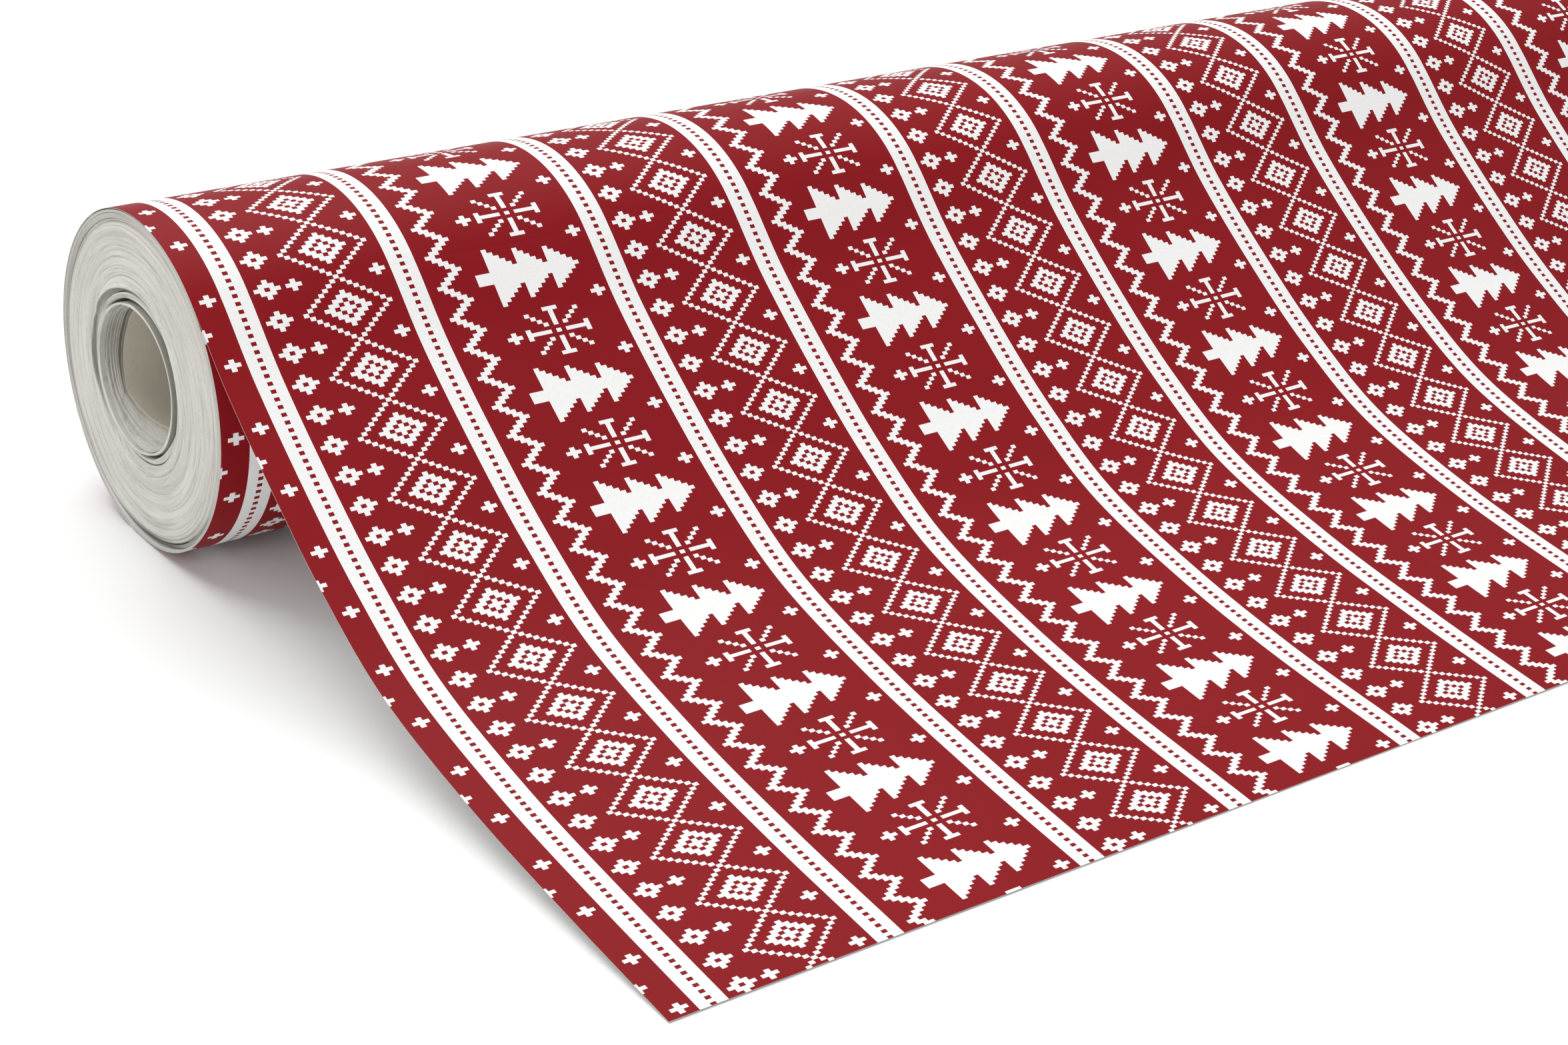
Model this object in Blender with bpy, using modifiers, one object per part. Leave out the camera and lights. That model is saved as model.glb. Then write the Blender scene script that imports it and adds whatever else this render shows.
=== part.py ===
"""Roll of gift wrapping paper lying on its side, its loose end drawn out across the surface that it rests on.

Frame: +X runs along the roll from its near end to its far end, -Y is the way the sheet is drawn out, and +Z is up.
The origin is at the middle of the object's footprint, on the resting surface. The web of paper is one long strip. It
is wound on a short core tube, and its turns are modelled in groups, because each group has slid a little along the
roll. The groups from the core tube to the outer printed turn spin together inside the last turn, which hugs the
roll and leads into the unrolled sheet.
"""

import math

import bmesh
import bpy

# Driving dimensions, in metres.
ROLL_RADIUS = 0.045
WEB_WIDTH = 0.700
SHEET_THICKNESS = 0.0004
GAP = 0.0003

# Each group of turns on the roll: inner and outer radius, and how far it has slid towards the far end.
CORE_RADII = (0.0171, 0.0183)
CORE_RECESS = 0.0062
START_RADII = (0.0186, 0.0196)
START_SLIDE = 0.001
START_STEP = 0.0044
INNER_LIP_RADII = (0.0199, 0.0213)
INNER_LIP_SLIDE = -0.0012
OUTER_LIP_RADII = (0.0216, 0.0230)
OUTER_LIP_SLIDE = -0.0006
MAIN_RADII = (0.0233, 0.0421)
LOOSE_RADII = (0.0424, 0.0436)
LOOSE_SLIDE = 0.0008
UNDER_RADII = (0.0439, 0.0442)
EDGE_ROUND = 0.0003

# The round pieces all have this many sides, with one flat side down.
SIDES = 64
SIDE_ANGLE = math.tau / SIDES

# The last turn runs round the back of the roll from its lowest side, over the top, and lets go of it this many sides
# in front of the top. From there the path of the sheet is given by points (out, up) in roll radii: out from the axis
# towards -Y, and up from the resting surface. The points are on the printed face.
BACK_SIDES = SIDES / 2 + 0.5
FRONT_SIDES = 7.5
SHEET_PATH = (
    (1.06, 1.393),
    (1.62, 0.996),
    (2.16, 0.665),
    (2.78, 0.378),
    (3.60, 0.196),
    (4.45, 0.086),
    (5.38, SHEET_THICKNESS / ROLL_RADIUS),
)
POINTS_PER_SPAN = 10

# The flat side that is down is a little nearer the axis than the radius.
AXIS_HEIGHT = ROLL_RADIUS * math.cos(SIDE_ANGLE / 2)
AXIS_Y = (SHEET_PATH[-1][0] - 1) * ROLL_RADIUS / 2
# The two groups that have slid furthest set the ends of the footprint.
WEB_MIDDLE = -(INNER_LIP_SLIDE + LOOSE_SLIDE) / 2

PRINT_RED = (0.330, 0.023, 0.027)
PAPER_WHITE = (0.690, 0.680, 0.640)
CORE_GREY = (0.380, 0.350, 0.290)


def clear_scene():
    for scene_object in list(bpy.data.objects):
        bpy.data.objects.remove(scene_object, do_unlink=True)


def new_collection(name):
    collection = bpy.data.collections.new(name)
    bpy.context.scene.collection.children.link(collection)
    return collection


def new_material(name, colour, roughness):
    material = bpy.data.materials.new(name)
    material.use_nodes = True
    shader = material.node_tree.nodes["Principled BSDF"]
    shader.inputs["Base Color"].default_value = (*colour, 1)
    shader.inputs["Roughness"].default_value = roughness
    shader.inputs["Metallic"].default_value = 0
    return material


def add_object(name, mesh, material, collection, parent=None):
    mesh.materials.append(material)
    piece = bpy.data.objects.new(name, mesh)
    piece.parent = parent
    collection.objects.link(piece)
    return piece


def turned_ring(name, profile, material, collection, axis):
    """A ring turned about local Z from a closed profile of (radius, z), which runs down its outer side."""
    mesh = bpy.data.meshes.new(name)
    edges = [(i, (i + 1) % len(profile)) for i in range(len(profile))]
    mesh.from_pydata([(radius, 0, z) for radius, z in profile], edges, [])
    ring = add_object(name, mesh, material, collection, axis)
    screw = ring.modifiers.new("Turn", "SCREW")
    screw.steps = SIDES
    screw.render_steps = SIDES
    screw.use_merge_vertices = True
    screw.merge_threshold = 0.0001
    screw.use_smooth_shade = True
    return ring


def turns_profile(radii, slide, edge=EDGE_ROUND):
    """Turns of paper between two radii, as wide as the web, with the edges at both ends eased."""
    inner, outer = radii
    near = slide - WEB_WIDTH / 2
    far = slide + WEB_WIDTH / 2
    return (
        (outer - edge, far),
        (outer, far - edge),
        (outer, near + edge),
        (outer - edge, near),
        (inner, near),
        (inner, far),
    )


def start_profile():
    """The first turns, which step back into the near end as they come nearer the core tube."""
    inner, outer = START_RADII
    near = START_SLIDE - WEB_WIDTH / 2
    far = START_SLIDE + WEB_WIDTH / 2
    return (
        (outer, far),
        (outer, near),
        (inner, near + START_STEP),
        (inner, far),
    )


def tube_profile():
    inner, outer = CORE_RADII
    half = WEB_WIDTH / 2 - CORE_RECESS
    return ((outer, half), (outer, -half), (inner, -half), (inner, half))


def catmull_rom(before, start, end, after, t):
    """The point a fraction t of the way from start to end on a smooth curve through four points."""
    return tuple(
        0.5 * (2 * b + (c - a) * t + (2 * a - 5 * b + 4 * c - d) * t**2 + (3 * b - a - 3 * c + d) * t**3)
        for a, b, c, d in zip(before, start, end, after)
    )


def on_roll(sides_from_top):
    """The point (out, up) on the roll's surface, in roll radii, counted in sides from the top towards -Y."""
    angle = sides_from_top * SIDE_ANGLE
    return (math.sin(angle), AXIS_HEIGHT / ROLL_RADIUS + math.cos(angle))


def last_turn_path():
    steps = round(BACK_SIDES + FRONT_SIDES)
    return [on_roll(step - BACK_SIDES) for step in range(steps + 1)]


def sheet_path():
    """The smooth path of the unrolled sheet, which leaves the roll along its surface."""
    last = SHEET_PATH[-1]
    beyond = tuple(2 * b - a for a, b in zip(SHEET_PATH[-2], last))
    knots = [on_roll(FRONT_SIDES - 3), on_roll(FRONT_SIDES), *SHEET_PATH, beyond]
    path = []
    for i in range(1, len(knots) - 2):
        for step in range(POINTS_PER_SPAN):
            path.append(catmull_rom(*knots[i - 1 : i + 3], step / POINTS_PER_SPAN))
    path.append(last)
    # The sheet starts a small gap after the end of the last turn, so that the two solids stay apart.
    share = GAP / ROLL_RADIUS / math.dist(path[0], path[1])
    path[0] = tuple(a + (b - a) * share for a, b in zip(path[0], path[1]))
    return path


def paper_ribbon(name, path, material, collection):
    """A strip of paper as wide as the web along a path of (out, up), with its thickness under the printed face."""
    mesh = bpy.data.meshes.new(name)
    ribbon = bmesh.new()
    near = WEB_MIDDLE - WEB_WIDTH / 2
    corners = [ribbon.verts.new((near, AXIS_Y - out * ROLL_RADIUS, up * ROLL_RADIUS)) for out, up in path]
    edges = [ribbon.edges.new(pair) for pair in zip(corners, corners[1:])]
    swept = bmesh.ops.extrude_edge_only(ribbon, edges=edges)["geom"]
    far_corners = [item for item in swept if isinstance(item, bmesh.types.BMVert)]
    bmesh.ops.translate(ribbon, verts=far_corners, vec=(WEB_WIDTH, 0, 0))
    # The printed face looks away from the roll, which is up where the path runs towards -Y.
    bmesh.ops.recalc_face_normals(ribbon, faces=ribbon.faces)
    highest = max(ribbon.faces, key=lambda face: face.calc_center_median().z)
    if highest.normal.z < 0:
        bmesh.ops.reverse_faces(ribbon, faces=ribbon.faces)
    ribbon.to_mesh(mesh)
    ribbon.free()
    strip = add_object(name, mesh, material, collection)
    solidify = strip.modifiers.new("Thickness", "SOLIDIFY")
    solidify.thickness = SHEET_THICKNESS
    solidify.offset = -1
    solidify.use_even_offset = True
    mesh.shade_smooth()
    mesh.set_sharp_from_angle(angle=math.radians(30))
    return strip


def build_roll(collection, paper, red, board):
    """The core tube and the groups of turns, all on an empty that lies on the axis the roll spins about."""
    axis = bpy.data.objects.new("roll_axis", None)
    axis.location = (WEB_MIDDLE, AXIS_Y, AXIS_HEIGHT)
    axis.rotation_mode = "ZYX"
    axis.rotation_euler = (SIDE_ANGLE / 2, math.pi / 2, 0)
    collection.objects.link(axis)
    turned_ring("core_tube", tube_profile(), board, collection, axis)
    turned_ring("start_turns", start_profile(), paper, collection, axis)
    groups = (
        ("inner_lip_turns", INNER_LIP_RADII, INNER_LIP_SLIDE),
        ("outer_lip_turns", OUTER_LIP_RADII, OUTER_LIP_SLIDE),
        ("main_turns", MAIN_RADII, 0),
        ("loose_outer_turns", LOOSE_RADII, LOOSE_SLIDE),
    )
    for name, radii, slide in groups:
        turned_ring(name, turns_profile(radii, slide), paper, collection, axis)
    turned_ring("printed_outer_turn", turns_profile(UNDER_RADII, 0, edge=0.0001), red, collection, axis)


def main():
    clear_scene()
    collection = new_collection("Wrapping_paper_roll")
    board = new_material("Grey_core_board", CORE_GREY, 0.9)
    paper = new_material("Unprinted_paper_edges", PAPER_WHITE, 0.8)
    red = new_material("Printed_paper", PRINT_RED, 0.5)
    build_roll(collection, paper, red, board)
    paper_ribbon("last_turn", last_turn_path(), red, collection)
    paper_ribbon("unrolled_sheet", sheet_path(), red, collection)


main()
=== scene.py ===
"""Looks of a roll of gift wrapping paper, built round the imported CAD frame.

Everything is in metres in the CAD's own frame. +X runs along the roll from its near end to its far end, -Y is the
way the sheet is drawn out, and +Z is up. Angles round the roll are counted from its top towards -Y.
"""

import math

import bmesh
import bpy
import numpy as np
from mathutils import Matrix, Vector


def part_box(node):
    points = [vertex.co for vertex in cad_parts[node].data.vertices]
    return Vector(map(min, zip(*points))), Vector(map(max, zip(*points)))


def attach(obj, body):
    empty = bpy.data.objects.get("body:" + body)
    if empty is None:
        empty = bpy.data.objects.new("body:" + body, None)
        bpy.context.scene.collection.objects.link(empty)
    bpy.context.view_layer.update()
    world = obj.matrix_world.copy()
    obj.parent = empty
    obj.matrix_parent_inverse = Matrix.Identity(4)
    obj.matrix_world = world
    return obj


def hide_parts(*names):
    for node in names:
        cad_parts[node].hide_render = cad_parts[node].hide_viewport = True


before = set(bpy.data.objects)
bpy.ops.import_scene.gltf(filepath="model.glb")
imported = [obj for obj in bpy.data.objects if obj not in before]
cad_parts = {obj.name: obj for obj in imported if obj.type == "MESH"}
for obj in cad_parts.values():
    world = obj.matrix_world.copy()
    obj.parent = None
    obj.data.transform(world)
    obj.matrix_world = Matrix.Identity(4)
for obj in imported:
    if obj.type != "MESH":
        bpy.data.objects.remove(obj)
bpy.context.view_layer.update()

# The roll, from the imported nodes.
MAIN_LOW, MAIN_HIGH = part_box("main_turns")
NEAR_END = MAIN_LOW.x
FAR_END = MAIN_HIGH.x
AXIS_Y = (MAIN_LOW.y + MAIN_HIGH.y) / 2
AXIS_HEIGHT = (MAIN_LOW.z + MAIN_HIGH.z) / 2
ROLL_RADIUS = 0.045

# The path of the web, as the CAD has it: round the roll, and then through these points (out, up) in roll
# radii.
SIDE_ANGLE = math.tau / 64
BACK_ANGLE = 32.5 * SIDE_ANGLE
FRONT_ANGLE = 7.5 * SIDE_ANGLE
TANGENT_ANGLE = 4.5 * SIDE_ANGLE
SHEET_END = 5.38
SHEET_PATH = (
    (1.06, 1.393),
    (1.62, 0.996),
    (2.16, 0.665),
    (2.78, 0.378),
    (3.60, 0.196),
    (4.45, 0.086),
    (SHEET_END, 0.0004 / ROLL_RADIUS),
)
WEB_END = 0.265
PAPER_THICKNESS = 0.00014
SEAM_STEP = 0.0002

# The print is a chart of cells. Eight repeats of its rows go once round the roll, so turns stay in register.
REPEAT_COLUMNS = 72
REPEAT_ROWS = 32
ROW = math.tau * ROLL_RADIUS / (8 * REPEAT_ROWS)
COLUMN = ROW * 4 / 3
FIRST_COLUMN = -18.4
FIRST_ROW_ARC = 2.487 * ROLL_RADIUS

RING_SEGMENTS = 256
WALL_STEPS = 12
FIRST_TURNS_OUTSIDE = 0.0191
FIRST_STEPS = 6
BOARD_THICKNESS = 0.0009
SLACK_SPACING = 0.0009
SEED = 20

# The turns round the hole lie a little above the roll's own middle. The lift fades out over this width, to
# nothing at this radius.
HOLE_LIFT = 0.0012
LIFT_FADE = 0.012
LIFT_OUTSIDE = 0.038

# The slack turns near the outside are drawn as this many layers.
LOOSE_INSIDE = 0.0424
LOOSE_WIDTH = 0.0014
LOOSE_LAYERS = 4

# The lowest that the unrolled sheet comes above the floor.
FLOOR_GAP = 0.00002


# ---------------------------------------------------------------- shader maths


class Value:
    """A number that a shader works out at each point. Operators and methods on it add Math nodes."""

    def __init__(self, tree, socket):
        self.tree = tree
        self.socket = socket

    def made(self, operation, *others):
        node = self.tree.nodes.new("ShaderNodeMath")
        node.operation = operation
        for place, value in enumerate((self, *others)):
            if isinstance(value, Value):
                self.tree.links.new(value.socket, node.inputs[place])
            else:
                node.inputs[place].default_value = value
        return Value(self.tree, node.outputs[0])

    def __add__(self, other):
        return self.made("ADD", other)

    def __sub__(self, other):
        return self.made("SUBTRACT", other)

    def __mul__(self, other):
        return self.made("MULTIPLY", other)

    def __and__(self, other):
        return self.made("MULTIPLY", other)

    def __or__(self, other):
        return self.made("MAXIMUM", other)

    def without(self, other):
        return self.made("SUBTRACT", other).made("MAXIMUM", 0.0)

    def smaller(self, other):
        return self.made("MINIMUM", other)

    def equals(self, other):
        return self.made("COMPARE", other, 0.25)

    def between(self, low, high):
        return self.made("COMPARE", (low + high) / 2, (high - low) / 2 + 0.25)

    def at_most(self, high):
        return self.made("LESS_THAN", high + 0.5)

    def apart(self, centre, period):
        """How far it is from the nearest of the places that lie a period apart, one of them at centre."""
        return (self - centre).made("PINGPONG", period / 2)


def white_cells(column, row):
    """1 in the cells of the knitted pattern that stay white and 0 in the red ones, for whole column and
    row.
    """
    odd = (column + row).made("PINGPONG", 1.0)

    def spread(centre_column, centre_row, period):
        """How many cells away a centre is, counted across and along."""
        return column.apart(centre_column, REPEAT_COLUMNS) + row.apart(centre_row, period)

    def ribbon(first):
        """A white ribbon five columns wide, with red checks down its middle."""
        return column.between(first, first + 4).without(column.equals(first + 2) & odd)

    # Linked diamonds with a ringed diamond in each, and small crosses between them.
    linked = spread(8, 0, 16)
    diamonds = linked.equals(8) | linked.at_most(4).without(linked.equals(2))
    crosses = spread(0, 8, 16).at_most(1) | spread(16, 8, 16).at_most(1)

    zigzag = (column - row.apart(0, 8)).between(26, 27)

    # Fir trees of three solid tiers, each wider than the one above it.
    down = row.apart(0, REPEAT_ROWS)
    below_tip = (column - 54) * -1.0
    tier = below_tip.made("DIVIDE", 6.0).made("FLOOR")
    branches = below_tip.between(0, 17) & (down - below_tip.made("MODULO", 6.0) - tier).at_most(0)
    tree = branches | (column.between(34, 36) & down.at_most(1))

    # Snowflakes with eight arms between the trees, and a bar across the ends of four of them.
    across = column.apart(45, REPEAT_COLUMNS)
    along = row.apart(16, REPEAT_ROWS)
    long_way = across | along
    short_way = across.smaller(along)
    arms = (short_way.equals(0) | short_way.equals(long_way)) & long_way.at_most(5)
    flake = arms.without(long_way.equals(1)) | (long_way.equals(6) & short_way.at_most(1))

    beads = spread(67, 0, 8)
    dots = spread(56, 8, 16).at_most(1) | spread(36, 16, REPEAT_ROWS).at_most(1)
    white = ribbon(19)
    parts = (ribbon(59), diamonds, crosses, zigzag, tree, flake, beads.at_most(2).without(beads.equals(0)), dots)
    for part in parts:
        white = white | part
    return white


# ---------------------------------------------------------------- materials


class Shader:
    """A node material on its Principled shader, with helpers for the nodes that feed it."""

    def __init__(self, name, roughness, specular=0.5):
        self.material = bpy.data.materials.new(name)
        self.material.use_nodes = True
        self.tree = self.material.node_tree
        self.shader = self.tree.nodes["Principled BSDF"]
        self.shader.inputs["Roughness"].default_value = roughness
        self.shader.inputs["Specular IOR Level"].default_value = specular
        self.place = self.tree.nodes.new("ShaderNodeTexCoord").outputs["Object"]

    def value(self, socket):
        return Value(self.tree, socket)

    def node(self, kind, inputs=(), **settings):
        made = self.tree.nodes.new(kind)
        for name, setting in settings.items():
            setattr(made, name, setting)
        for name, given in dict(inputs).items():
            if isinstance(given, Value):
                given = given.socket
            if isinstance(given, bpy.types.NodeSocket):
                self.tree.links.new(given, made.inputs[name])
            else:
                made.inputs[name].default_value = given
        return made

    def noise(self, scale, detail=4.0, roughness=0.5, vector=None):
        inputs = {
            "Vector": self.place if vector is None else vector,
            "Scale": scale,
            "Detail": detail,
            "Roughness": roughness,
        }
        return self.value(self.node("ShaderNodeTexNoise", inputs).outputs["Fac"])

    def fitted(self, value, low, high, to_low, to_high):
        """The value, moved from one range to another and kept inside it."""
        inputs = {"Value": value, "From Min": low, "From Max": high, "To Min": to_low, "To Max": to_high}
        return self.value(self.node("ShaderNodeMapRange", inputs).outputs["Result"])

    def mixed(self, factor, first, second):
        node = self.tree.nodes.new("ShaderNodeMix")
        node.data_type = "RGBA"
        sockets = [s for s in node.inputs if s.type == "RGBA"]
        self.give(node.inputs[0], factor)
        self.give(sockets[0], first)
        self.give(sockets[1], second)
        return next(s for s in node.outputs if s.type == "RGBA")

    def give(self, socket, given):
        if isinstance(given, Value):
            given = given.socket
        if isinstance(given, bpy.types.NodeSocket):
            self.tree.links.new(given, socket)
        elif isinstance(given, tuple):
            socket.default_value = (*given, 1.0)
        else:
            socket.default_value = given

    def colour(self, given):
        self.give(self.shader.inputs["Base Color"], given)

    def rough(self, given):
        self.give(self.shader.inputs["Roughness"], given)

    def bump(self, height, strength, distance):
        inputs = {"Height": height, "Strength": strength, "Distance": distance}
        self.give(self.shader.inputs["Normal"], self.node("ShaderNodeBump", inputs).outputs["Normal"])


INK_RED = (0.243, 0.0050, 0.0092)
INK_THIN = (0.229, 0.0042, 0.0080)
BARE_LIGHT = (0.87, 0.868, 0.865)
BARE_DULL = (0.83, 0.828, 0.822)


def printed_paper():
    """The printed face: red ink round the white cells of the pattern, on smooth paper with a faint grain."""
    paper = Shader("Printed_paper", 0.55, 0.12)
    print_map = paper.tree.nodes.new("ShaderNodeUVMap")
    print_map.uv_map = "Print"
    split = paper.node("ShaderNodeSeparateXYZ", {"Vector": print_map.outputs["UV"]})
    across = paper.value(split.outputs["X"]).made("FLOOR")
    column = across.made("WRAP", float(REPEAT_COLUMNS), 0.0)
    row = paper.value(split.outputs["Y"]).made("FLOOR")
    white = white_cells(column, row)
    clouds = paper.noise(9.0, 3.0)
    fibres = paper.noise(1400.0, 3.0, 0.6)
    ink = paper.mixed(paper.fitted(clouds, 0.35, 0.65, 0.0, 1.0), INK_RED, INK_THIN)
    ink = paper.mixed(paper.fitted(fibres, 0.62, 0.80, 0.0, 0.10), ink, (0.42, 0.06, 0.065))
    bare = paper.mixed(paper.fitted(fibres, 0.35, 0.65, 0.0, 1.0), BARE_DULL, BARE_LIGHT)
    paper.colour(paper.mixed(white, ink, bare))
    paper.rough(paper.fitted(fibres, 0.3, 0.7, 0.44, 0.54) + white * 0.05)
    paper.bump(fibres + paper.noise(60.0, 2.0) * 1.5 - white * 0.4, 0.12, 0.0001)
    return paper.material


def plain_paper(name, light, dull, fibre):
    """Unprinted paper, cloudy between two tones, with fibres of a third."""
    paper = Shader(name, 0.72, 0.3)
    fibres = paper.noise(900.0, 4.0, 0.6)
    clouds = paper.noise(22.0, 3.0)
    base = paper.mixed(paper.fitted(clouds, 0.3, 0.7, 0.0, 1.0), dull, light)
    paper.colour(paper.mixed(paper.fitted(fibres, 0.55, 0.75, 0.0, 0.35), base, fibre))
    paper.rough(paper.fitted(fibres, 0.3, 0.7, 0.66, 0.80))
    paper.bump(fibres + clouds * 0.8, 0.25, 0.00015)
    return paper.material


def paper_layers():
    """The edges of the wound layers: fine streaks that run round the roll, with grey and cream ones
    among them.
    """
    layers = Shader("Paper_layer_edges", 0.85, 0.25)
    split = layers.node("ShaderNodeSeparateXYZ", {"Vector": layers.place})
    x, y, z = (layers.value(split.outputs[axis]) for axis in "XYZ")
    radius = (y * y + z * z).made("SQRT")
    beside = y.made("DIVIDE", radius)
    above = z.made("DIVIDE", radius)

    def streaks(per_metre, round_it, detail):
        """Noise that changes fast with the radius and slowly round the roll."""
        parts = {"X": radius * per_metre, "Y": beside * round_it, "Z": above * round_it}
        vector = layers.node("ShaderNodeCombineXYZ", parts).outputs["Vector"]
        return layers.noise(1.0, detail, 0.65, vector)

    fine = streaks(3200.0, 2.4, 3.0)
    broad = streaks(620.0, 1.3, 2.0)
    wide = streaks(130.0, 0.9, 1.0)
    fuzz = layers.noise(1500.0, 3.0, 0.6)
    # Painted shade: the rings' Shade attribute darkens the colour towards olive in dips, crevices and underneath.
    shade = layers.value(layers.node("ShaderNodeAttribute", attribute_name="Shade").outputs["Fac"])
    base = layers.mixed(layers.fitted(wide, 0.3, 0.7, 0.0, 1.0), (0.605, 0.592, 0.545), (0.680, 0.668, 0.622))
    base = layers.mixed(layers.fitted(broad, 0.54, 0.70, 0.0, 0.45), base, (0.42, 0.405, 0.355))
    base = layers.mixed(layers.fitted(fine, 0.54, 0.72, 0.0, 0.62), base, (0.31, 0.295, 0.25))
    base = layers.mixed(layers.fitted(fine, 0.45, 0.25, 0.0, 0.5), base, (0.80, 0.79, 0.75))
    base = layers.mixed(layers.fitted(fuzz, 0.54, 0.74, 0.0, 0.42), base, (0.42, 0.405, 0.355))
    layers.colour(layers.mixed(shade, base, (0.150, 0.145, 0.115)))
    layers.rough(layers.fitted(fine, 0.3, 0.7, 0.78, 0.92))
    layers.bump(fine * 1.2 + broad + fuzz * 0.6, 0.6, 0.0003)
    return layers.material


def core_board():
    """The core tube: smooth grey-brown board with flecks."""
    board = Shader("Grey_core_board", 0.75, 0.3)
    flecks = board.noise(700.0, 4.0, 0.6)
    clouds = board.noise(45.0, 3.0)
    base = board.mixed(board.fitted(clouds, 0.3, 0.7, 0.0, 1.0), (0.47, 0.43, 0.355), (0.54, 0.50, 0.42))
    base = board.mixed(board.fitted(flecks, 0.58, 0.75, 0.0, 0.4), base, (0.33, 0.30, 0.25))
    # Painted shade: the Shade attribute darkens the tube's cut end towards dark brown at the back and top.
    shade = board.value(board.node("ShaderNodeAttribute", attribute_name="Shade").outputs["Fac"])
    board.colour(board.mixed(shade, base, (0.13, 0.12, 0.095)))
    board.rough(board.fitted(flecks, 0.3, 0.7, 0.68, 0.82))
    board.bump(flecks + clouds * 0.6, 0.2, 0.0002)
    return board.material


# ---------------------------------------------------------------- meshes


def add_piece(name, vertices, faces, materials, place=(0, 0, 0)):
    mesh = bpy.data.meshes.new(name)
    mesh.from_pydata(vertices, [], faces)
    for material in materials:
        mesh.materials.append(material)
    piece = bpy.data.objects.new(name, mesh)
    piece.location = place
    bpy.context.scene.collection.objects.link(piece)
    return piece


def smooth(mesh, sharp_degrees):
    mesh.shade_smooth()
    mesh.set_sharp_from_angle(angle=math.radians(sharp_degrees))


def on_roll(angle):
    """The point (out, up) of the last turn's printed face, in roll radii. It lies flat where it touches
    the floor.
    """
    return np.array([math.sin(angle), max(AXIS_HEIGHT / ROLL_RADIUS + math.cos(angle), 0.0)])


def curve(knots, per_span):
    """Points on a smooth curve through the knots, from the second one to the last but one."""
    points = []
    for a, b, c, d in zip(knots, knots[1:], knots[2:], knots[3:]):
        for t in np.arange(per_span) / per_span:
            cubic = 3 * b - a - 3 * c + d
            points.append((2 * b + (c - a) * t + (2 * a - 5 * b + 4 * c - d) * t**2 + cubic * t**3) / 2)
    points.append(knots[-2])
    return points


def web_paths():
    """The points (out, up) of the last turn and of the unrolled sheet, which meet where the web leaves
    the roll.
    """
    seam = SEAM_STEP / ROLL_RADIUS
    turn = [on_roll(angle) for angle in np.linspace(-BACK_ANGLE, FRONT_ANGLE, 200)]
    turn.insert(-1, on_roll(FRONT_ANGLE - seam))
    ends = [np.array(point) for point in SHEET_PATH]
    free = curve([on_roll(TANGENT_ANGLE), on_roll(FRONT_ANGLE), *ends, 2 * ends[-1] - ends[-2]], 20)
    along = free[1] - free[0]
    free.insert(1, free[0] + along * seam / np.linalg.norm(along))
    return np.array(turn), np.array(free)


def print_place(x, arc):
    """The column and row of the print at a place along the roll and a distance along the web."""
    return [(x - NEAR_END) / COLUMN + FIRST_COLUMN, (arc - FIRST_ROW_ARC) / ROW]


def paper_strip(name, path, first_arc, materials, across=120):
    """A strip of the web along a path of (out, up). The materials are for its printed face, back and cut edges.

    first_arc is how far along the web from the top of the roll the strip starts. The Print map counts the
    columns and rows of the pattern.
    """
    steps = np.linalg.norm(np.diff(path, axis=0), axis=1) * ROLL_RADIUS
    arc = first_arc + np.concatenate([[0], np.cumsum(steps)])
    x = np.linspace(NEAR_END, FAR_END, across + 1)
    tangent = np.gradient(path, axis=0)
    tangent /= np.linalg.norm(tangent, axis=1)[:, None]
    outward = np.stack([-tangent[:, 1], tangent[:, 0]], axis=1)
    vertices = []
    for depth in (0, PAPER_THICKNESS / ROLL_RADIUS):
        layer = path - outward * depth
        for (out, up), distance in zip(layer, arc):
            lift = undulation(x, distance)
            y = AXIS_Y - out * ROLL_RADIUS
            vertices += [(a, y, max(up * ROLL_RADIUS + b, FLOOR_GAP)) for a, b in zip(x, lift)]
    count = len(path)
    wide = across + 1

    def vertex(side, i, j):
        return (side * count + i) * wide + j

    faces, marks = [], []
    for i in range(count - 1):
        for j in range(across):
            corners = ((i, j), (i + 1, j), (i + 1, j + 1), (i, j + 1))
            faces.append([vertex(0, *corner) for corner in corners])
            faces.append([vertex(1, *corner) for corner in (corners[0], *corners[:0:-1])])
            marks += [0, 1]
    for i in range(count - 1):
        faces.append([vertex(0, i, 0), vertex(1, i, 0), vertex(1, i + 1, 0), vertex(0, i + 1, 0)])
        far = (vertex(0, i, across), vertex(0, i + 1, across), vertex(1, i + 1, across), vertex(1, i, across))
        faces.append(far)
        marks += [2, 2]
    for j in range(across):
        last = count - 1
        faces.append([vertex(0, 0, j), vertex(0, 0, j + 1), vertex(1, 0, j + 1), vertex(1, 0, j)])
        faces.append([vertex(0, last, j), vertex(1, last, j), vertex(1, last, j + 1), vertex(0, last, j + 1)])
        marks += [2, 2]
    piece = add_piece(name, vertices, faces, materials)
    mesh = piece.data
    mesh.polygons.foreach_set("material_index", marks)
    columns, rows = print_place(x, arc)
    print_map = mesh.uv_layers.new(name="Print")
    corner_vertex = np.empty(len(mesh.loops), int)
    mesh.loops.foreach_get("vertex_index", corner_vertex)
    at_path, at_width = np.divmod(corner_vertex % (count * wide), wide)
    print_map.data.foreach_set("uv", np.stack([columns[at_width], rows[at_path]], axis=1).ravel())
    smooth(mesh, 40)
    return piece


def undulation(x, distance):
    """How far the paper stands above its path, for places across the web and a distance along it."""
    free = ease((distance - 0.04) / 0.10) * (0.12 + 0.88 * ease((WEB_END - distance) / 0.05))
    waves = np.sin(23 * x + 6 * distance + 0.6) + 0.6 * np.sin(41 * x - 17 * distance + 2.0)
    return 0.0005 * free * waves


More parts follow.
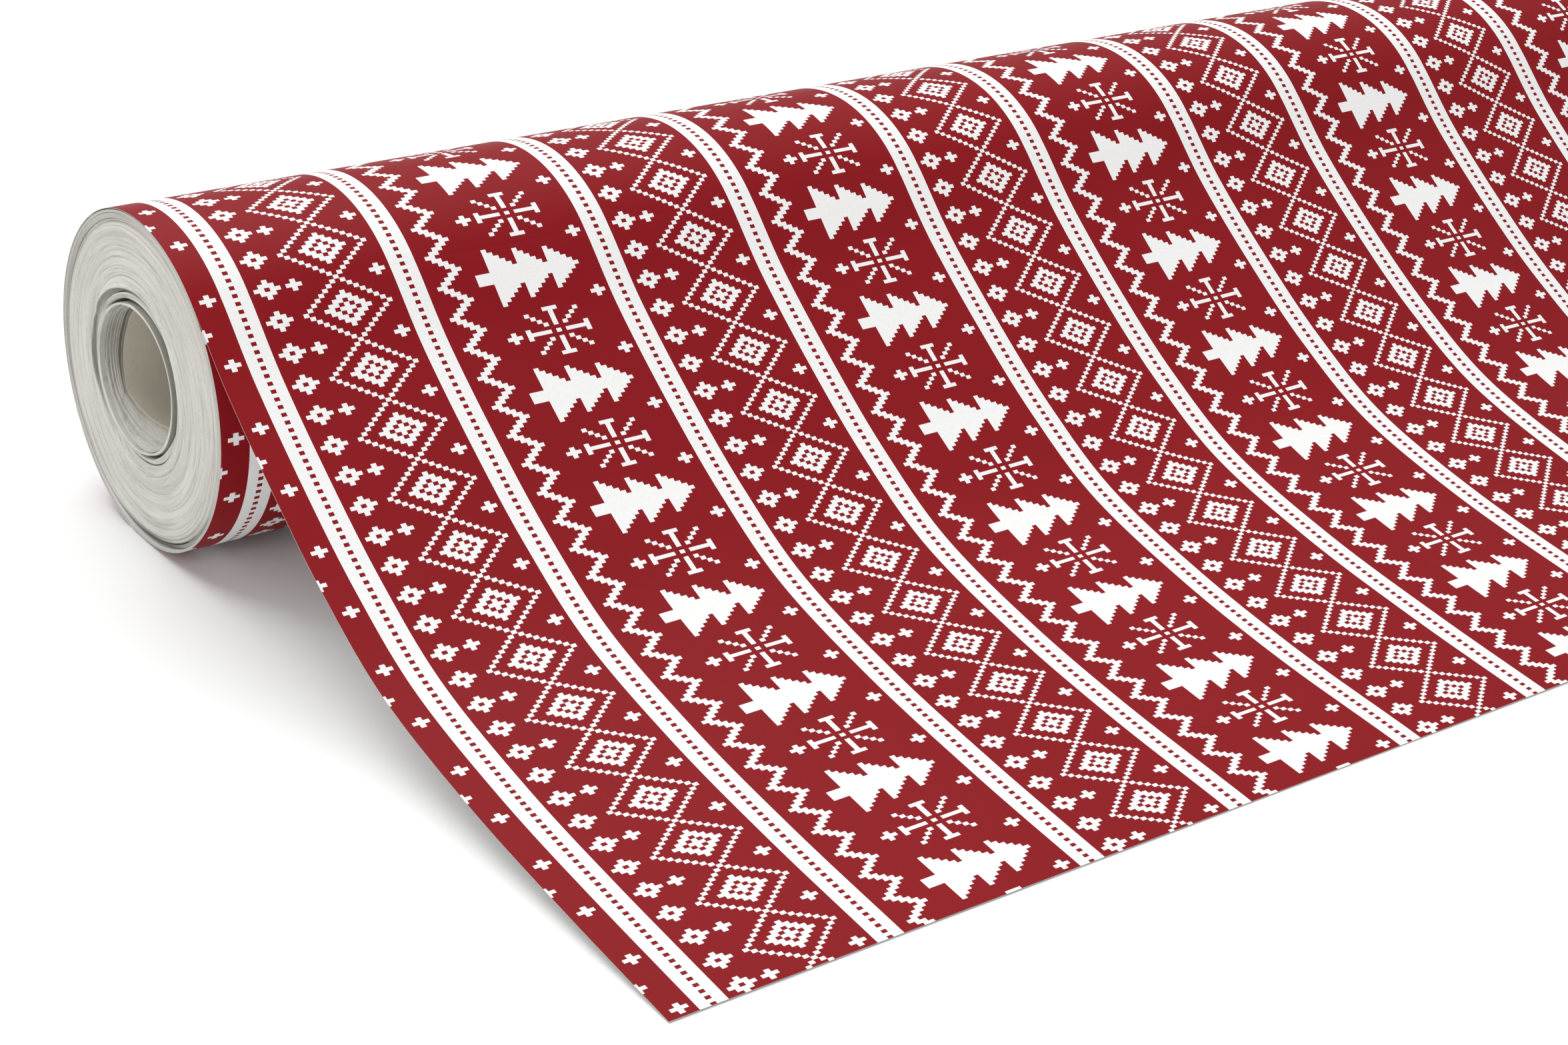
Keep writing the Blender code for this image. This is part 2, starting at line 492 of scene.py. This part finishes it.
class Rings:
    """Smooth random numbers round the roll and across its layers, the same ones on each run."""

    def __init__(self, seed, spacing, waves=3):
        draws = np.random.default_rng(seed)
        count = int(0.05 / spacing) + 2
        self.spacing = spacing
        self.even = draws.normal(0, 1, count)
        self.cosines = draws.normal(0, 1, (waves, count)) / (1 + np.arange(waves))[:, None]
        self.sines = draws.normal(0, 1, (waves, count)) / (1 + np.arange(waves))[:, None]

    def at(self, radius, angle):
        places = np.arange(len(self.even)) * self.spacing
        total = np.interp(radius, places, self.even)
        for wave, (cosine, sine) in enumerate(zip(self.cosines, self.sines), start=1):
            total = total + np.interp(radius, places, cosine) * np.cos(wave * angle)
            total = total + np.interp(radius, places, sine) * np.sin(wave * angle)
        return total


FINE_RINGS = Rings(SEED, 0.0004)
BROAD_RINGS = Rings(SEED + 1, 0.0016, 2)


def ease(share):
    """0 below 0 and 1 above 1, with a smooth rise between."""
    share = np.clip(share, 0, 1)
    return share * share * (3 - 2 * share)


def bump_at(angle, centre_degrees, width_degrees):
    """1 at an angle round the roll, falling smoothly to 0 a width away from it."""
    away = np.abs((angle - math.radians(centre_degrees) + math.pi) % math.tau - math.pi)
    return ease(1 - away / math.radians(width_degrees))


def end_loops(low, high, angle, end, eased, steps):
    """(how far it stands out, radius) of loops across the end of a ring, from its inner wall to its
    outer one.
    """
    loops = []
    for place in np.concatenate([[0.0], np.linspace(0.01, 0.99, steps), [1.0]]):
        radius = low + (high - low) * place
        to_wall = np.clip(np.minimum(high - radius, radius - low) / eased, 0, 1)
        round_off = eased * (1 - np.sqrt(1 - (1 - to_wall) ** 2))
        loops.append((end(radius, angle) - round_off, radius))
    return loops


def unshaded(radius, angle):
    return np.zeros_like(radius)


def wound_ring(
    name, inner, outer, near, far, materials, steps=24, eased=0.0003, printed=False, shade=unshaded
):
    """A closed ring of wound layers.

    inner and outer give the radius for each angle. near and far give how far each end stands out from the
    main turns' end, for radius and angle, and shade how much painted shade the near end gets there, from 0 to 1.
    The materials are for the ends, the inner wall and the outer wall.
    """
    angle = np.linspace(0, math.tau, RING_SEGMENTS, endpoint=False)
    low, high = inner(angle), outer(angle)
    near_end = [(NEAR_END - out, radius) for out, radius in end_loops(low, high, angle, near, eased, steps)]
    far_end = [(FAR_END + out, radius) for out, radius in end_loops(low, high, angle, far, eased, steps)]
    along = np.linspace(0, 1, WALL_STEPS + 2)[1:-1]
    inner_wall = [(near_end[0][0] + (far_end[0][0] - near_end[0][0]) * t, low) for t in along]
    outer_wall = [(far_end[-1][0] + (near_end[-1][0] - far_end[-1][0]) * t, high) for t in along]
    loops = near_end[::-1] + inner_wall + far_end + outer_wall
    across_end = [0] * (len(near_end) - 1)
    along_wall = [1] * (WALL_STEPS + 1)
    parts = across_end + along_wall + across_end + [2 * mark for mark in along_wall]
    vertices, shades = [], []
    for i, (x, radius) in enumerate(loops):
        lift = HOLE_LIFT * ease((LIFT_OUTSIDE - radius) / LIFT_FADE)
        vertices += list(zip(x, -radius * np.sin(angle), radius * np.cos(angle) + lift))
        shades.append(shade(radius, angle) if i < len(near_end) else np.zeros(RING_SEGMENTS))
    faces, marks, print_places = [], [], []
    for i, part in enumerate(parts):
        following = (i + 1) % len(loops)
        for j in range(RING_SEGMENTS):
            corners = ((i, j), (following, j), (following, j + 1), (i, j + 1))
            faces.append([loop * RING_SEGMENTS + segment % RING_SEGMENTS for loop, segment in corners])
            marks.append(min(part, len(materials) - 1))
            for loop, segment in corners:
                arc = segment / RING_SEGMENTS * math.tau * ROLL_RADIUS
                print_places += print_place(loops[loop][0][segment % RING_SEGMENTS], arc)
    piece = add_piece(name, vertices, faces, materials, (0, AXIS_Y, AXIS_HEIGHT))
    piece.data.polygons.foreach_set("material_index", marks)
    # The Shade attribute is painted shade, which the layer and board materials mix into the colour.
    piece.data.attributes.new("Shade", "FLOAT", "POINT").data.foreach_set("value", np.concatenate(shades))
    if printed:
        piece.data.uv_layers.new(name="Print").data.foreach_set("uv", print_places)
    outward = bmesh.new()
    outward.from_mesh(piece.data)
    bmesh.ops.recalc_face_normals(outward, faces=outward.faces)
    outward.to_mesh(piece.data)
    outward.free()
    smooth(piece.data, 50)
    return piece


def level(amount):
    """The same radius at every angle, or the same stand-out all over an end."""
    return lambda *place: np.full_like(place[-1], amount)


def dip_edge(angle):
    """The radius where the main turns start to fall back towards the hole. It is furthest out at the back."""
    return 0.0234 + 0.0048 * bump_at(angle, 258, 92)


def slackness(radius, angle):
    """How slack the turns are: most so at the rim, at the lower right."""
    return ease((radius - 0.0380) / 0.0045) * bump_at(angle, 146, 66)


def main_near(radius, angle):
    """Fine and broad ridges, a dip round the hole at the back, and a slight fall at the rim."""
    ridges = 0.00012 * FINE_RINGS.at(radius, angle) + 0.00018 * BROAD_RINGS.at(radius, angle)
    dip = 0.0008 * ease((dip_edge(angle) - radius) / 0.0008) * bump_at(angle, 275, 120)
    rim = 0.0004 * ease((radius - 0.0402) / 0.0018)
    return ridges - dip - rim - 0.0009 * slackness(radius, angle)


def main_shade(radius, angle):
    """Painted shade: dark where the dip starts, along the rim at the back, in lines between slack turns, and
    as a painted shadow underneath.
    """
    inside = dip_edge(angle) - radius
    dip = ease(inside / 0.0003) * (1 - 0.55 * ease(inside / 0.0040)) * ease(1.5 * bump_at(angle, 296, 108))
    rim = ease((radius - 0.0417) / 0.0004) * bump_at(angle, 262, 115)
    lines = ease((radius / SLACK_SPACING % 1 - 0.62) / 0.2) * slackness(radius, angle)
    under = ease((radius - 0.0405) / 0.0015) * bump_at(angle, 176, 26)
    return np.minimum(0.80 * dip + 0.35 * rim + 0.75 * lines + 0.55 * under, 1)


def main_far(radius, angle):
    ridges = 0.00012 * FINE_RINGS.at(radius + 0.003, angle + 2) + 0.00018 * BROAD_RINGS.at(radius, angle + 2)
    return ridges - 0.0006 * ease((0.0275 - radius) / 0.004)


def lip(middle, sway, proud_degrees, ring_shift, swell=0.0):
    """The end of a group that has slid askew: it stands out most at one angle and least opposite it."""

    def end(radius, angle):
        lean = middle + sway * np.cos(angle - math.radians(proud_degrees)) + swell * bump_at(angle, 138, 42)
        return lean + 0.00010 * FINE_RINGS.at(radius + ring_shift, angle)

    return end


def inner_lip_outside(angle):
    """The inner lip is thinner at the top and at the bottom, which leaves a dark crevice round it there."""
    return 0.0206 - 0.0006 * (bump_at(angle, 340, 38) + bump_at(angle, 158, 32))


def inner_lip_shade(radius, angle):
    """Painted shade: none on its crest, which stays light, and dark from the edge of it down its outer wall."""
    wall = ease((radius - inner_lip_outside(angle) + 0.0003) / 0.0002)
    bore = ease((0.0195 - radius) / 0.0002) * bump_at(angle, 270, 110)
    return 0.80 * wall + 0.30 * bore


def outer_lip_shade(radius, angle):
    """Painted shade: dark at the front, between two groups that stand out further, and beside the inner lip at
    the back.
    """
    beside = ease((0.0217 - radius) / 0.0004) * bump_at(angle, 275, 105)
    return 0.65 * ease(1.6 * bump_at(angle, 74, 60)) + 0.55 * beside + 0.04


def cut_by_hand(knots):
    """A line that runs straight from knot to knot round the roll. Each knot is (degrees, amount)."""
    degrees, amounts = zip(*knots)

    def line(angle):
        return np.interp(np.degrees(angle) % 360, degrees, amounts, period=360)

    return line


def widened(amount, change, *bumps):
    """A radius that changes near some angles. Each bump is (degrees, width in degrees)."""
    return lambda angle: amount + change * sum(bump_at(angle, *bump) for bump in bumps)


# How far back the tube's near end is cut, deepest at the bottom, and its inner radius, which has a dent
# there.
TUBE_CUT = cut_by_hand(
    (
        (20, -0.0045), (90, -0.0062), (150, -0.0082), (182, -0.0084), (200, -0.0064),
        (218, -0.0048), (236, -0.0034), (262, -0.0038), (295, -0.0045), (330, -0.0036),
    )
)
TUBE_INSIDE = cut_by_hand(
    (
        (20, 0.0172), (62, 0.0175), (112, 0.0170), (150, 0.0167),
        (185, 0.0160), (210, 0.0165), (236, 0.0173), (320, 0.0172),
    )
)


def tube_outside(angle):
    return TUBE_INSIDE(angle) + BOARD_THICKNESS


def tube_near(radius, angle):
    return TUBE_CUT(angle)


def tube_shade(radius, angle):
    """The cut end is dark at the back and top, where it lies in the shade of the steps above it."""
    on_end = ease((radius - TUBE_INSIDE(angle)) / 0.0002)
    return 0.80 * on_end * ease(bump_at(angle, 290, 80) * 1.6)


def first_turns_inside(angle):
    return tube_outside(angle) + 0.0001


def first_turns_depth(radius, angle):
    """How many of the first turns' steps a place is below their outermost layer."""
    low = first_turns_inside(angle)
    return (FIRST_TURNS_OUTSIDE - radius) / (FIRST_TURNS_OUTSIDE - low) * FIRST_STEPS


def first_turns_near(radius, angle):
    """Layers that step back into the hole one by one, to just above the tube. They lie smoother at the
    bottom.
    """
    depth = first_turns_depth(radius, angle)
    stair = np.floor(depth) + ease((depth - np.floor(depth) - 0.7) / 0.3)
    smooth_share = 0.95 * ease(bump_at(angle, 182, 105) * 1.8)
    share = (stair * (1 - smooth_share) + depth * smooth_share) / FIRST_STEPS
    uneven = 0.00020 * FINE_RINGS.at(0.0004 * stair + 0.012, angle)
    return 0.0004 + (TUBE_CUT(angle) - 0.0002) * share + uneven * (1 - share)


def first_turns_shade(radius, angle):
    """Painted shade: dusky at the back, with a dark line at the foot of each step, and little at the bottom."""
    depth = first_turns_depth(radius, angle)
    foot = ease((depth - np.floor(depth) - 0.62) / 0.15)
    in_light = bump_at(angle, 172, 95)
    last = ease((depth - 4.9) / 0.5)
    return (0.18 + 0.42 * foot + 0.40 * last) * (1 - 0.9 * in_light)


def loose_depth(radius):
    """How many of the slack layers lie between a place and the innermost of them."""
    return (radius - LOOSE_INSIDE) / LOOSE_WIDTH * LOOSE_LAYERS


def loose_near(radius, angle):
    """The slack outer turns draw back one behind another at the lower right."""
    slack = (0.0002 + 0.0005 * np.floor(loose_depth(radius))) * bump_at(angle, 160, 62)
    return 0.0001 * FINE_RINGS.at(radius, angle) - 0.0003 - slack


def loose_shade(radius, angle):
    """Painted shade: dark lines between the slack turns, and a dusky edge at the back and underneath."""
    lines = ease((loose_depth(radius) % 1 - 0.6) / 0.25) * bump_at(angle, 160, 75)
    back = bump_at(angle, 262, 115)
    under = bump_at(angle, 176, 28)
    return np.minimum(0.1 + 0.6 * lines + 0.45 * back + 0.7 * under, 1)


def build_roll(layers, printed, plain, cut, board):
    rings = (
        (
            "core_tube", "Core_tube", TUBE_INSIDE, tube_outside,
            tube_near, level(-0.0062), (board,), {"steps": 4, "eased": 0.0001, "shade": tube_shade},
        ),
        (
            "start_turns", "First_turns", first_turns_inside, level(FIRST_TURNS_OUTSIDE),
            first_turns_near, level(0.001), (layers,),
            {"steps": 72, "eased": 0.00003, "shade": first_turns_shade},
        ),
        (
            "inner_lip_turns", "Inner_lip_turns", level(0.0193), inner_lip_outside,
            lip(0.0013, 0.0005, 270, 0.002), lip(-0.0012, 0.0008, 320, 0.004), (layers,),
            {"steps": 14, "eased": 0.0004, "shade": inner_lip_shade},
        ),
        (
            "outer_lip_turns", "Outer_lip_turns", level(0.0208), widened(0.0224, -0.0009, (82, 62)),
            lip(0.0003, 0.0009, 270, 0.005, swell=0.0010), lip(-0.0006, 0.0006, 310, 0.003), (layers,),
            {"steps": 14, "eased": 0.0006, "shade": outer_lip_shade},
        ),
        (
            "main_turns", "Main_turns", widened(0.0227, -0.0008, (82, 62)), level(0.04232),
            main_near, main_far, (layers,), {"steps": 120, "eased": 0.00015, "shade": main_shade},
        ),
        (
            "loose_outer_turns", "Loose_outer_turns", widened(0.04238, 0.0003, (150, 60)), level(0.0438),
            loose_near, level(0.0004), (layers,), {"steps": 40, "eased": 0.00012, "shade": loose_shade},
        ),
        (
            "printed_outer_turn", "Printed_outer_turn", level(0.0439), level(0.0446),
            level(-0.0001), level(0.0), (cut, plain, printed), {"steps": 3, "eased": 0.00006, "printed": True},
        ),
    )
    for node, name, inner, outer, near, far, materials, options in rings:
        piece = wound_ring(name, inner, outer, near, far, materials, **options)
        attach(piece, "roll")
        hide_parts(node)


def build_sheet(printed, plain, cut):
    turn_path, free_path = web_paths()
    turn = paper_strip("Last_turn", turn_path, -BACK_ANGLE * ROLL_RADIUS, (printed, plain, cut))
    free = paper_strip("Unrolled_sheet", free_path, FRONT_ANGLE * ROLL_RADIUS, (printed, plain, cut))
    for piece, node in ((turn, "last_turn"), (free, "unrolled_sheet")):
        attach(piece, "sheet")
        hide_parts(node)


# ---------------------------------------------------------------- room, light and camera


def build_stage():
    """A plain pale floor under a large soft lamp, with even light from all round."""
    size = 6.0
    corners = [(-size, -size, 0), (size, -size, 0), (size, size, 0), (-size, size, 0)]
    pale = Shader("Pale_floor", 0.9, 0.1)
    pale.colour(pale.mixed(pale.noise(3.0), (0.88, 0.88, 0.88), (0.90, 0.90, 0.90)))
    floor = add_piece("floor", corners, [(0, 1, 2, 3)], (pale.material,))

    world = bpy.data.worlds.new("Studio")
    bpy.context.scene.world = world
    world.use_nodes = True
    sky = world.node_tree.nodes["Background"]
    sky.inputs["Color"].default_value = (1, 1, 1, 1)
    sky.inputs["Strength"].default_value = 0.52

    lamps = (
        ("Overhead", (-0.3, 0.95, 2.1), 2.4, 51.0),
        ("Near_side", (-2.1, -1.4, 1.1), 1.5, 15.0),
    )
    for name, place, side, power in lamps:
        lamp = bpy.data.lights.new(name, "AREA")
        lamp.shape = "SQUARE"
        lamp.size = side
        lamp.energy = power
        holder = bpy.data.objects.new(name, lamp)
        holder.location = place
        holder.rotation_euler = (-Vector(place)).to_track_quat("-Z", "Y").to_euler()
        bpy.context.scene.collection.objects.link(holder)
    bpy.context.scene.view_settings.view_transform = "Standard"


def build_camera():
    """The photograph's view, worked out from the ellipse of the near end and the outlines of the roll."""
    heading, pitch, roll = math.radians(51.03), math.radians(27.16), math.radians(5.04)
    forward = Vector((math.cos(heading) * math.cos(pitch), math.sin(heading) * math.cos(pitch), -math.sin(pitch)))
    level_right = Vector((math.sin(heading), -math.cos(heading), 0))
    level_up = level_right.cross(forward)
    right = math.cos(roll) * level_right + math.sin(roll) * level_up
    up = right.cross(forward)
    lens = bpy.data.cameras.new("Camera")
    lens.sensor_width = 36
    lens.lens = 68.9
    camera = bpy.data.objects.new("Camera", lens)
    place = Vector((NEAR_END - 6.763 * ROLL_RADIUS, AXIS_Y - 14.257 * ROLL_RADIUS, 8.343 * ROLL_RADIUS))
    turned = Matrix((right, up, -forward)).transposed()
    camera.matrix_world = Matrix.Translation(place) @ turned.to_4x4()
    bpy.context.scene.collection.objects.link(camera)
    bpy.context.scene.camera = camera


printed_material = printed_paper()
plain_material = plain_paper("Unprinted_paper", (0.80, 0.795, 0.775), (0.74, 0.735, 0.71), (0.62, 0.61, 0.58))
cut_material = plain_paper("Cut_paper_edges", (0.50, 0.49, 0.45), (0.42, 0.41, 0.37), (0.34, 0.33, 0.29))
build_sheet(printed_material, plain_material, cut_material)
build_roll(paper_layers(), printed_material, plain_material, cut_material, core_board())
build_stage()
build_camera()
